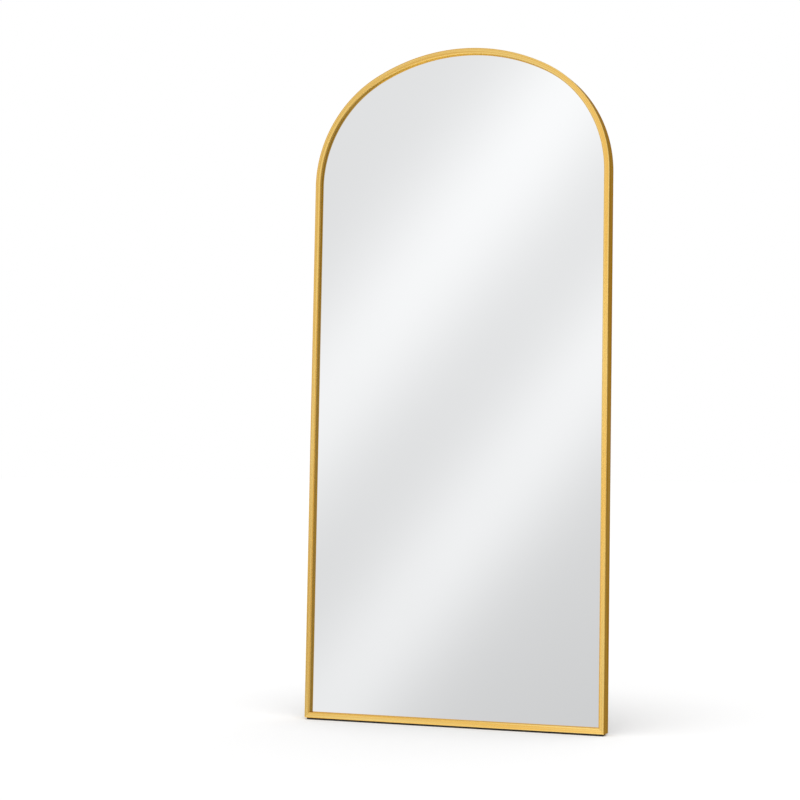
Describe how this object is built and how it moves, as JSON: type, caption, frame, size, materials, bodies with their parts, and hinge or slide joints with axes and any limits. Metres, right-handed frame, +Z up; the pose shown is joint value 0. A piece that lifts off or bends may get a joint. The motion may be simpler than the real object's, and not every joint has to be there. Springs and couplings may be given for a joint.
{
  "type": "leaning floor mirror",
  "caption": "Full-length arched floor mirror in a slim brushed gold aluminium frame, leaning back on a rubber strip and a folding tube stand, with keyhole plates for hanging.",
  "frame": {"origin": "centre of the footprint, on the floor, with the stand open", "axes": "+X to the mirror's right as seen from the front, +Y to its back, +Z up; the mirror leans back towards +Y"},
  "size_m": [0.835, 0.2941, 1.8023],
  "materials": {
    "gold_aluminium": "lengthwise brushed and gold anodised",
    "mill_aluminium": "plain extruded",
    "silvered_glass": "polished silvered float glass",
    "white_film": "smooth self-adhesive film",
    "foam_tape": "closed-cell foam",
    "hardboard": "pressed hardboard, smooth back",
    "zinc_steel": "bright zinc plated",
    "screw_steel": "zinc plated",
    "black_steel": "satin black powder coat",
    "black_rubber": "matt moulded rubber"
  },
  "bodies": {
    "mirror": {"backing_board": "hardboard", "bottom_rail": "gold_aluminium", "bracket_rivets": "mill_aluminium", "clip_screws": "screw_steel", "corner_key_left": "mill_aluminium", "corner_key_right": "mill_aluminium", "corner_plate_left": "zinc_steel", "corner_plate_right": "zinc_steel", "corner_plate_screws": "screw_steel", "crossbar": "mill_aluminium", "crossbar_screws": "screw_steel", "floor_strip": "black_rubber", "frame_arch": "gold_aluminium", "glass_gasket": "foam_tape", "hanger_plate_left": "zinc_steel", "hanger_plate_right": "zinc_steel", "hanger_screws": "screw_steel", "hinge_bracket_left": "zinc_steel", "hinge_bracket_right": "zinc_steel", "hinge_pin_left": "screw_steel", "hinge_pin_right": "screw_steel", "mirror_glass": "silvered_glass", "retaining_clips": "zinc_steel", "safety_film": "white_film", "setting_blocks": "black_rubber", "side_packers": "black_rubber"},
    "stand": {"stand_frame": "black_steel", "stand_tongue_left": "black_steel", "stand_tongue_right": "black_steel", "stand_foot_left": "black_rubber", "stand_foot_right": "black_rubber"}
  },
  "joints": [
    {"name": "stand_fold", "type": "hinge", "parent": "mirror", "child": "stand", "pos_m": [0, -0.04331, 1.15102], "axis": [-1, 0, 0], "range_deg": [0, 11.8]}
  ]
}
